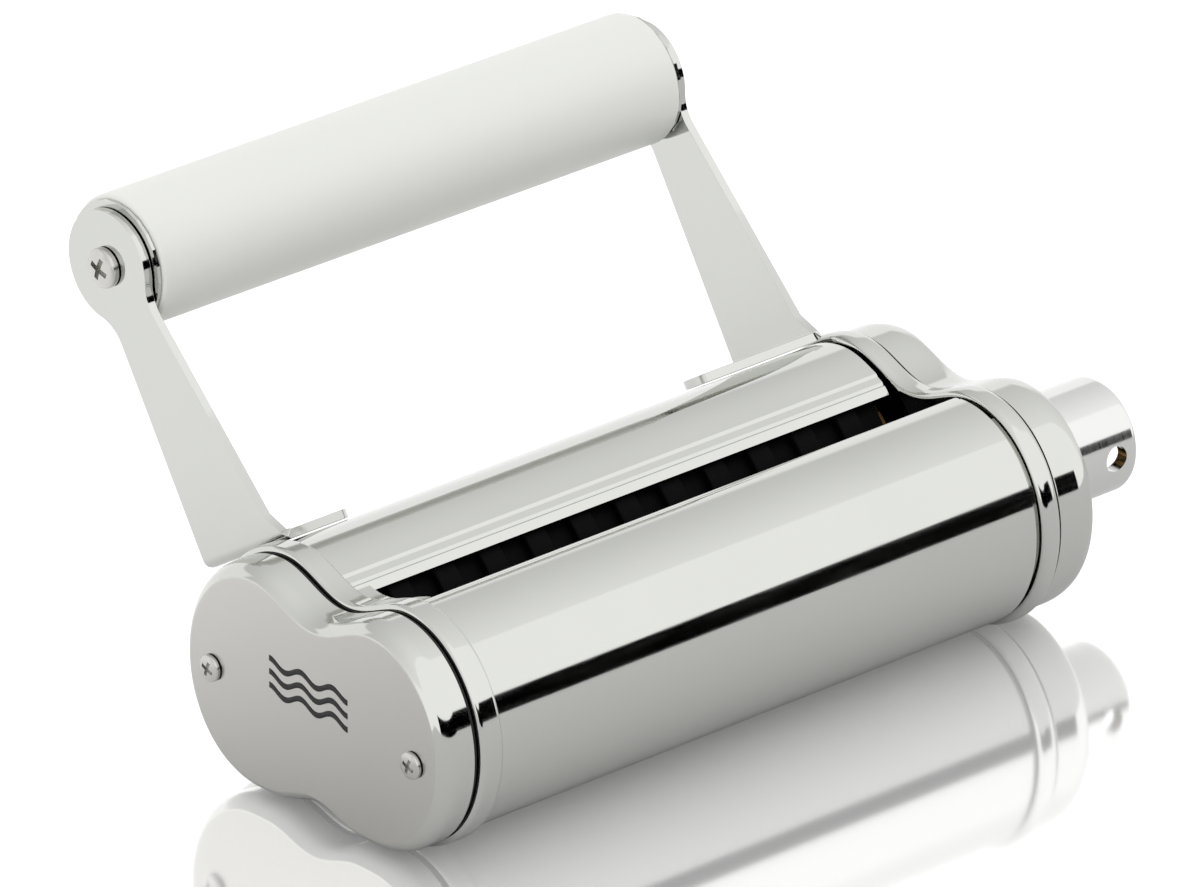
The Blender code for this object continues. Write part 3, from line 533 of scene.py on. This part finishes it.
def rounded_rings(start, end, inset, radius, steps=5):
    """Rings of a plate with both rims rounded."""
    quarter = [math.pi / 2 * i / steps for i in range(steps + 1)]
    way = 1 if end > start else -1
    near = [(start + way * radius * (1 - math.sin(a)), inset + radius * (1 - math.cos(a)))
            for a in reversed(quarter)]
    far = [(end - way * radius * (1 - math.sin(a)), inset + radius * (1 - math.cos(a))) for a in quarter]
    return near + far


# %% [markdown]
# ## End plates
#
# Two thick plates carry everything. Each rim is rounded over, which draws a thin bright line along the
# edge. The bearing holes and the screw holes are drilled through with a Boolean, as the drill would.

# %% End plates
BEARING_HOLE = 7.8
SHORT_DRILL, LONG_DRILL = 5.0, 9.0    # how far each drill reaches on both sides of the outer face
PLATE_ROUNDING = {"left": 1.1, "right": 1.8}
SHOULDER_LENGTH, SHOULDER_WALL = 4.0, 2.0
SHOULDER_FRONT, SHOULDER_BACK = -14.4, 4.2
COVER_INSET, COVER_WALL = 1.2, 1.0
RIB_INSET, RIB_WALL, RIB_LENGTH = 2.6, 1.5, 6.0
ROLLER_Y = (box_mm("drive_spindle")[0].y + box_mm("drive_spindle")[1].y) / -2
ROLLER_Z = (box_mm("drive_spindle")[0].z + box_mm("drive_spindle")[1].z) / 2
TIE_Y, TIE_Z = 29.4, 14.2
SCREW_HOLE = 1.8


def rod(start, end, radius, y, z, segments=48):
    """A plain round bar along X, made by a cone with equal ends."""
    bm = bmesh.new()
    turn = Matrix.Translation(((start + end) / 2, y, z)) @ Matrix.Rotation(math.pi / 2, 4, "Y")
    bmesh.ops.create_cone(bm, cap_ends=True, segments=segments, radius1=radius, radius2=radius,
                          depth=abs(end - start), matrix=turn)
    return bm


def rolled_sheet(path, start, end):
    """A sheet through a line of points, extruded along X."""
    bm = bmesh.new()
    line = [bm.verts.new((start, y, z)) for y, z in path]
    edges = [bm.edges.new(pair) for pair in zip(line, line[1:])]
    grown = bmesh.ops.extrude_edge_only(bm, edges=edges)["geom"]
    moved = [g for g in grown if isinstance(g, bmesh.types.BMVert)]
    bmesh.ops.translate(bm, vec=(end - start, 0, 0), verts=moved)
    return bm


def rib(path, start, end, thickness, middle):
    """A curved strip of metal to be welded to a plate, through a line of points."""
    strip = make_object("rib", turned_out(rolled_sheet(path, start, end), middle), [])
    wall(strip, thickness)
    return strip


for label, outer, inner, way in (("left", LEFT_PLATE_OUT, LEFT_PLATE_IN, 1),
                                 ("right", RIGHT_PLATE_OUT, RIGHT_PLATE_IN, -1)):
    rings = rounded_rings(outer, inner, 0.0, PLATE_ROUNDING[label])
    plate = make_piece(label + "_plate", through_rings(rings), "body", label + "_end_plate")
    added = []
    for side in (-1, 1):
        path = [lobe(math.pi * (0.5 - i / 40), RIB_INSET) for i in range(4, 37)]
        added.append(rib([(side * y, z) for y, z in path], inner - way, inner + way * RIB_LENGTH, RIB_WALL,
                         (inner, side * LOBE_Y, CENTRE_Z)))
    if label == "left":
        spread = [SHOULDER_FRONT + (SHOULDER_BACK - SHOULDER_FRONT) * i / 12 for i in range(13)]
        added.append(rib([(y, waist(y, COVER_INSET + 0.1, True)) for y in spread], inner - way,
                         inner + way * SHOULDER_LENGTH, SHOULDER_WALL, (inner, 0, 0)))
    cut(plate, added, "UNION")
    drills = []
    for side in (-1, 1):
        screw_hole = rod(outer - SHORT_DRILL, outer + SHORT_DRILL, SCREW_HOLE, side * TIE_Y, TIE_Z)
        drills.append(make_object("drill", screw_hole, []))
        bearing = rod(outer - LONG_DRILL, outer + LONG_DRILL, BEARING_HOLE, side * ROLLER_Y, ROLLER_Z)
        drills.append(make_object("drill", bearing, []))
    cut(plate, drills)
    hold_flats(plate)

# %% [markdown]
# ## Seals
#
# A thin black gasket shows as one dark line between each cap and its plate.

# %% Seals
SEAL_INSET = {"left": 1.5, "right": 2.4}    # the right one hides inside its cap
for label, inset in SEAL_INSET.items():
    low, top = box_mm(label + "_seal")
    make_piece(label + "_gasket", through_rings([(low.x, inset), (top.x, inset)]), "body", label + "_seal")

# %% [markdown]
# ## End caps
#
# Each cap is a shallow cup pressed from sheet. Its side wall leans in more and more towards the face and
# meets it at a soft crease. The cup is one closed solid: the rings start at the inner face, run down the
# inner wall, turn over the rim and come back up the outer wall, so the sheet has its real thickness
# everywhere.

# %% End caps
CAP_INSET, CAP_WALL = 1.0, 1.1
CAP_LEAN = {"left": 2.3, "right": 0.9}    # how far the wall leans in between the rim and the face
LEAN_HEIGHT = 4.2                         # over how much of the depth it leans
LEAN_ANGLE = math.radians(62)
CREASE, FACE_HOLD = 0.35, 0.8
CAP_SLEEVE_HOLE = 12.8


def cap_rings(rim, face, lean):
    """Rings of the whole cup, from its inner face over the rim to its outer face."""
    way = 1 if face > rim else -1
    steps = 8
    rings = [(face - way * CAP_WALL, CAP_INSET + lean + CAP_WALL + 0.8),
             (face - way * (CAP_WALL + 0.9), CAP_INSET + lean + CAP_WALL),
             (face - way * (CREASE + LEAN_HEIGHT + 0.6), CAP_INSET + CAP_WALL),
             (rim, CAP_INSET + CAP_WALL), (rim, CAP_INSET + 0.1), (rim + way * 0.1, CAP_INSET)]
    for i in range(steps + 1):
        a = LEAN_ANGLE * i / steps
        rings.append((face - way * (CREASE + LEAN_HEIGHT * (1 - math.sin(a) / math.sin(LEAN_ANGLE))),
                      CAP_INSET + lean * (1 - math.cos(a)) / (1 - math.cos(LEAN_ANGLE))))
    rings.append((face - way * CREASE * 0.35, CAP_INSET + lean + CREASE * 0.4))
    rings.append((face, CAP_INSET + lean + CREASE))
    rings.append((face, CAP_INSET + lean + FACE_HOLD))
    return rings


for label, rim, face in (("left", LEFT_RIM, LEFT_FACE), ("right", RIGHT_PLATE_OUT + GAP, RIGHT_FACE)):
    cap = make_piece(label + "_cap", through_rings(cap_rings(rim, face, CAP_LEAN[label])), "body",
                     label + "_end_cap", ["satin_steel", "polished_steel"], sharp=40)
    drills = []
    for depth in ("front", "rear"):
        low, top = box_mm(label + "_cap_screw_" + depth)
        drills.append(make_object("drill", rod(face - 5, face + 5, SCREW_HOLE, (low.y + top.y) / 2,
                                               (low.z + top.z) / 2), []))
    if label == "right":
        opening = rod(face - SHORT_DRILL, face + SHORT_DRILL, CAP_SLEEVE_HOLE, -ROLLER_Y, ROLLER_Z, 96)
        drills.append(make_object("drill", opening, []))
    cut(cap, drills, sharp=40)
    for polygon in cap.data.polygons:
        polygon.material_index = 0 if abs(polygon.normal.x) > 0.95 else 1
    hold_flats(cap)

# %% [markdown]
# ## Printed mark
#
# The plain end carries a small printed mark: three waving ribbons, as thin as ink. Each is a grid of one
# row of faces whose points follow a sine, set a hair in front of the face.

# %% Printed mark
MARK_WIDTH, MARK_MIDDLE_Y, MARK_MIDDLE_Z = 24.0, 1.0, 29.5
RIBBON_HEIGHT, RIBBON_PITCH, RIBBON_SWING, RIBBON_WAVES = 1.3, 3.0, 0.9, 2.5
bm = bmesh.new()
for ribbon in (-1, 0, 1):
    made = bmesh.ops.create_grid(bm, x_segments=60, y_segments=1, size=0.5)
    for vert in made["verts"]:
        along, up = vert.co.x, vert.co.y
        vert.co = (LEFT_FACE - 0.02, MARK_MIDDLE_Y + along * MARK_WIDTH,
                   MARK_MIDDLE_Z + ribbon * RIBBON_PITCH + up * RIBBON_HEIGHT
                   + RIBBON_SWING * math.sin(along * 2 * math.pi * RIBBON_WAVES))
mark = make_object("ribbon_mark", turned_out(bm, (0, 0, CENTRE_Z)), ["black_rubber"])
wall(mark, 0.02, offset=1.0)
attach(mark, "body")
print("ribbon_mark", len(mark.data.polygons), "faces")

# %% [markdown]
# ## Covers
#
# The front and rear covers are sheets rolled round the lobes. Each is a line of points along the outline,
# from the dough slot over the lobe and down to the ribbon outlet, extruded along X. The rear one turns down
# into the slot with a rolled lip, and the front one ends in a narrow hem.

# %% Covers
FRONT_SLOT_Y = 14.8
OUTLET_Y = 9.0
COVER_GROOVE = 1.3                    # shadow line between the covers and the right plate
REAR_LIP = [(4.6, 44.6), (5.2, 45.5), (6.0, 46.3), (6.35, 46.2), (6.7, 46.9), (8.1, 47.6)]
HEM = [(FRONT_SLOT_Y, -0.55), (FRONT_SLOT_Y + 0.15, -0.12), (FRONT_SLOT_Y + 0.6, 0.0),
       (FRONT_SLOT_Y + 1.5, -0.05), (FRONT_SLOT_Y + 1.75, -0.3), (FRONT_SLOT_Y + 2.0, -0.02)]
COVER_POINTS = 110


def cover_path(side):
    """The cover's outside from slot to outlet, as (y, z) with y away from the middle."""
    if side < 0:
        path = [(y, waist(y, COVER_INSET, True) + lift) for y, lift in HEM]
        start = HEM[-1][0] + 0.3
    else:
        path = list(REAR_LIP)
        start = REAR_LIP[-1][0] + 0.5
    count = 8
    path += [(y, waist(y, COVER_INSET, True)) for y in
             (start + (LOBE_Y - start) * i / count for i in range(count))]
    path += [lobe(math.pi * (0.5 - i / COVER_POINTS), COVER_INSET) for i in range(COVER_POINTS + 1)]
    path += [(y, waist(y, COVER_INSET, False)) for y in
             (LOBE_Y + (OUTLET_Y - LOBE_Y) * i / count for i in range(1, count + 1))]
    return path


for side, label in ((-1, "front"), (1, "rear")):
    path = [(side * y, z) for y, z in cover_path(side)]
    sheet = turned_out(rolled_sheet(path, LEFT_PLATE_IN + GAP, RIGHT_PLATE_IN - COVER_GROOVE),
                       (LEFT_PLATE_IN, side * LOBE_Y, CENTRE_Z))
    cover = make_piece(label + "_sheet_cover", sheet, "body", label + "_cover", sharp=25)
    wall(cover, COVER_WALL)
    soften(cover, 0.15, 2, angle=60)

# %% [markdown]
# ## Turned pieces
#
# The grip, the shank, the rollers and the screws are all turned: a profile spun about its own
# axis.

# %% Spinning a profile


def turned(profile, y, z, segments=96, closed=False):
    """A solid spun about X from (x, radius) points, round an axis at y and z."""
    bm = bmesh.new()
    points = [bm.verts.new((x, 0, r)) for x, r in profile]
    pairs = list(zip(points, points[1:]))
    if closed:
        pairs.append((points[-1], points[0]))
    edges = [bm.edges.new(pair) for pair in pairs]
    bmesh.ops.spin(bm, geom=points + edges, cent=(0, 0, 0), axis=(1, 0, 0), angle=2 * math.pi, steps=segments,
                   use_merge=True)
    bmesh.ops.translate(bm, vec=(0, y, z), verts=bm.verts)
    return cleaned(bm)


def arc(x, r, radius, start, end, steps=5):
    """Points on a small arc in a profile, by angle in degrees from +X."""
    return [(x + radius * math.cos(math.radians(start + (end - start) * i / steps)),
             r + radius * math.sin(math.radians(start + (end - start) * i / steps)))
            for i in range(steps + 1)]


# %% Grip
grip_low, grip_high = box_mm("grip_roller")
GRIP_Y, GRIP_Z = (grip_low.y + grip_high.y) / 2, (grip_low.z + grip_high.z) / 2
GRIP_RADIUS = (grip_high.z - grip_low.z) / 2
GRIP_BORE, GRIP_EDGE = 11.0, 1.0
profile = [(grip_low.x, GRIP_BORE)]
profile += arc(grip_low.x + GRIP_EDGE, GRIP_RADIUS - GRIP_EDGE, GRIP_EDGE, 180, 90)
profile += [(grip_low.x + 2 * GRIP_EDGE, GRIP_RADIUS), (grip_high.x - 2 * GRIP_EDGE, GRIP_RADIUS)]
profile += arc(grip_high.x - GRIP_EDGE, GRIP_RADIUS - GRIP_EDGE, GRIP_EDGE, 90, 0)
profile += [(grip_high.x, GRIP_BORE)]
make_piece("grip_tube", turned(profile, GRIP_Y, GRIP_Z, 128, closed=True), "grip", "grip_roller")

# %% Drive shank
SLEEVE_RADIUS, SLEEVE_BORE = 12.5, 9.8
SHANK_START = box_mm("drive_sleeve")[0].x
profile = [(SHANK_START, SLEEVE_BORE), (SHANK_START, SLEEVE_RADIUS)]
profile += [(SLEEVE_END - 1.4, SLEEVE_RADIUS)] + arc(SLEEVE_END - 1.0, SLEEVE_RADIUS - 1.0, 1.0, 90, 0)
profile += [(SLEEVE_END, SLEEVE_BORE + 0.5), (SLEEVE_END - 0.5, SLEEVE_BORE)]
tube = turned(profile, -ROLLER_Y, ROLLER_Z, 128, closed=True)
shank = make_piece("drive_shank", tube, "body", "drive_sleeve")
HOLE_RADIUS, HOLE_SETBACK = 2.9, 6.2
drill = bmesh.new()
spot = Matrix.Translation((SLEEVE_END - HOLE_SETBACK, -ROLLER_Y - SLEEVE_RADIUS, ROLLER_Z))
bmesh.ops.create_cone(drill, cap_ends=True, segments=48, radius1=HOLE_RADIUS, radius2=HOLE_RADIUS, depth=8,
                      matrix=spot @ Matrix.Rotation(math.pi / 2, 4, "X"))
cut(shank, [make_object("drill", drill, [])])

# %% [markdown]
# ## Cutter rollers
#
# Each roller is one turned bar with a disc on every second band. The other roller's discs run in the
# grooves between them, and the dough is cut where the discs' edges pass.

# %% Cutter rollers
BAND, BANDS, DISC_WIDTH = 6.2, 23, 5.7
ROLLER_RADIUS, GROOVE_RADIUS, ROLLER_BORE = 16.5, 14.6, 5.3
DISC_EDGE = 0.25


def roller_profile(first_band):
    """Discs and grooves of one roller, as (x, radius) points."""
    low = (LEFT_PLATE_IN + RIGHT_PLATE_IN - BAND * BANDS) / 2
    profile = [(low, ROLLER_BORE), (low, GROOVE_RADIUS)]
    for band in range(first_band, BANDS, 2):
        left = low + (band + 0.5) * BAND - DISC_WIDTH / 2
        right = left + DISC_WIDTH
        profile += [(left, GROOVE_RADIUS), (left, ROLLER_RADIUS - DISC_EDGE)]
        profile += [(left + DISC_EDGE, ROLLER_RADIUS), (right - DISC_EDGE, ROLLER_RADIUS)]
        profile += [(right, ROLLER_RADIUS - DISC_EDGE), (right, GROOVE_RADIUS)]
    return profile + [(low + BAND * BANDS, GROOVE_RADIUS), (low + BAND * BANDS, ROLLER_BORE)]


for label, side, first in (("front", -1, 0), ("rear", 1, 1)):
    bar = turned(roller_profile(first), side * ROLLER_Y, ROLLER_Z, closed=True)
    make_piece(label + "_ribbon_roller", bar, label + "_roller", label + "_cutter_roller")

# %% [markdown]
# ## Screws
#
# A pan head is a short cylinder with a domed top. It is turned together with its shank, and a cross is then
# pressed into it, here by cutting with two crossed wedges.

# %% Screws
CROSS_WIDTH_SHARE, CROSS_LENGTH_SHARE, CROSS_DEPTH_SHARE = 0.28, 1.15, 0.75
SMALL_HEAD = 3.5                      # heads with a smaller radius than this are the small ones
SMALL_SCREW = (1.2, 1.5)              # height of the head and radius of the shank
LARGE_SCREW = (2.1, 2.0)


def make_screw(name, node, dome=0.6):
    """A screw in the place of a node: the end with the widest part is its head."""
    low, high = box_mm(node)
    radius = (high.z - low.z) / 2
    y, z = (low.y + high.y) / 2, (low.z + high.z) / 2
    way = 1 if node.startswith("left") or "_left_" in node else -1
    tip, top = (high.x, low.x) if way > 0 else (low.x, high.x)
    height, shank = SMALL_SCREW if radius < SMALL_HEAD else LARGE_SCREW
    seat = top + way * height
    steps = 8
    profile = [(tip, 0), (tip, shank - 0.3), (tip - way * 0.3, shank), (seat, shank), (seat, radius)]
    for i in range(steps + 1):
        a = math.pi / 2 * i / steps
        rise = height * (1 - dome + dome * math.sin(a))
        profile.append((seat - way * rise, radius * math.cos(a) if i < steps else 0))
    piece = make_piece(name, turned(profile, y, z, 64), "body", node)
    tools = []
    for turn in (20, 110):
        bar = bmesh.new()
        size = (CROSS_DEPTH_SHARE * height * 2, CROSS_LENGTH_SHARE * radius, CROSS_WIDTH_SHARE * radius)
        bmesh.ops.create_cube(bar, size=1.0, matrix=Matrix.Translation((top, y, z))
                              @ Matrix.Rotation(math.radians(turn), 4, "X") @ Matrix.Diagonal((*size, 1)))
        tools.append(make_object("bar", bar, []))
    cut(piece, tools)


for node in frame["nodes"]:
    if "_screw" in node:
        make_screw(node + "_head", node)

# %% [markdown]
# ## Arms
#
# Each arm is one strap of thick sheet: a round head at the grip, a strap that widens downwards, and a foot
# bent square to it that lies on the rear cover. It is drawn as a fitter would mark it out, flat. The flat
# face is sliced across the bend, rolled round the bend's radius, and only then given its thickness.

# %% Arms, marked out flat
ARM_THICKNESS = 2.0
ARM_DISC_RADIUS = 12.1
ARM_FRONT = ((63.3, 83.3), (32.9, 53.3))
ARM_BACK = ((72.5, 70.2), (54.1, 40.4))
ARM_FILLET = 9.0
FOOT_ANGLE = math.radians(58.3)
FOOT_START, FOOT_END, FOOT_LENGTH, FOOT_TIP_RADIUS = -4.0, 25.6, 26.0, 7.0
BEND_RADIUS = 2.2
BEND_SLICES = 12

slope_out = Vector((math.cos(FOOT_ANGLE), math.sin(FOOT_ANGLE)))
slope_down = Vector((slope_out.y, -slope_out.x))
half_y, half_z = HALF_LENGTH - LOBE_Y - COVER_INSET, CENTRE_Z - COVER_INSET
reach = math.hypot(half_y * slope_out.x, half_z * slope_out.y)
touch = Vector((LOBE_Y, CENTRE_Z)) + Vector((half_y ** 2 * slope_out.x, half_z ** 2 * slope_out.y)) / reach
grip_centre = Vector((GRIP_Y, GRIP_Z))


def fillet(top, bottom, away, steps=10):
    """The arc that blends one straight edge of the strap into the round head."""
    top, bottom = Vector(top), Vector(bottom)
    down = (bottom - top).normalized()
    out = Vector((-down.y, down.x))
    if out.dot(away) < 0:
        out = -out
    to_centre = grip_centre - top
    reach = math.sqrt((ARM_DISC_RADIUS + ARM_FILLET) ** 2 - (ARM_FILLET - to_centre.dot(out)) ** 2)
    middle = top + down * (to_centre.dot(down) + reach) + out * ARM_FILLET
    start, end = -out, (grip_centre - middle).normalized()
    return [middle + start.slerp(end, i / steps) * ARM_FILLET for i in range(steps + 1)]


def strap_outline(steps=48):
    """The strap's edge above the bend, as (y, z) points."""
    front = fillet(*ARM_FRONT, Vector((-1, 1)))
    back = fillet(*ARM_BACK, Vector((1, -1)))
    begin = math.atan2(front[-1].y - grip_centre.y, front[-1].x - grip_centre.x)
    finish_angle = math.atan2(back[-1].y - grip_centre.y, back[-1].x - grip_centre.x)
    while finish_angle > begin:
        finish_angle -= 2 * math.pi
    head = [grip_centre + Vector((math.cos(a), math.sin(a))) * ARM_DISC_RADIUS
            for a in (begin + (finish_angle - begin) * i / steps for i in range(1, steps))]
    return [Vector(ARM_FRONT[1])] + front + head + list(reversed(back))


def flat_pattern():
    """The arm's edge, flat: (down the slope, up from the bend's top)."""
    bend = BEND_RADIUS * math.pi / 2
    strap = [((p - touch).dot(slope_down), (p - touch).dot(slope_out) - GAP - BEND_RADIUS)
             for p in strap_outline()]
    middle = (FOOT_START + FOOT_END) / 2
    tip = []
    for i in range(13):
        a = math.radians(80) * (1 - 2 * i / 12)
        tip.append((middle + FOOT_TIP_RADIUS * math.sin(a),
                    -bend - (FOOT_LENGTH - BEND_RADIUS - FOOT_TIP_RADIUS * (1 - math.cos(a)))))
    return [(FOOT_START, -bend / 2)] + strap + [(FOOT_END, -bend / 2)] + tip


print("flat pattern:", len(flat_pattern()), "points")

# %% Arms, sliced and bent


def bent(up, inner, way):
    """Where a height on the flat pattern ends up: (x, distance out from the cover)."""
    if up >= 0:
        return inner, GAP + BEND_RADIUS + up
    turn = min(-up / BEND_RADIUS, math.pi / 2)
    run = max(0.0, -up - BEND_RADIUS * math.pi / 2)
    return inner + way * (BEND_RADIUS * (1 - math.cos(turn)) + run), GAP + BEND_RADIUS * (1 - math.sin(turn))


for label, inner, way in (("left", LEFT_PLATE_IN + GAP, 1), ("right", RIGHT_PLATE_IN - GAP, -1)):
    bm = bmesh.new()
    bm.faces.new([bm.verts.new((0, down, up)) for down, up in flat_pattern()])
    for i in range(BEND_SLICES + 1):
        height = -BEND_RADIUS * math.pi / 2 * i / BEND_SLICES
        bmesh.ops.bisect_plane(bm, geom=bm.verts[:] + bm.edges[:] + bm.faces[:], dist=0.0001,
                               plane_co=(0, 0, height), plane_no=(0, 0, 1))
    for vert in bm.verts:
        down, (x, out) = vert.co.y, bent(vert.co.z, inner, way)
        place = touch + slope_down * down + slope_out * out
        vert.co = (x, place.x, place.y)
    arm = make_piece(label + "_strap", turned_out(bm, (inner + way * 20, GRIP_Y - 20, GRIP_Z - 20)), "body",
                     label + "_arm")
    wall(arm, ARM_THICKNESS)
    cut(arm, [make_object("drill", rod(inner - 5, inner + 5, 2.3, GRIP_Y, GRIP_Z), [])])
    soften(arm, 0.3, 3, angle=60)


# %% [markdown]
# ## The pieces inside
#
# Bushes, gears, clips, shafts, combs and rods keep the shapes they have in the frame, because those are the
# working shapes. Each gets the finish that its slot in the record names.

# %% Finish the frame's own nodes
for name, node in frame["nodes"].items():
    if not node.hide_render:
        node.data.materials.clear()
        node.data.materials.append(FINISHES[slot_of[name]])
print("nodes kept:", sum(not n.hide_render for n in frame["nodes"].values()))
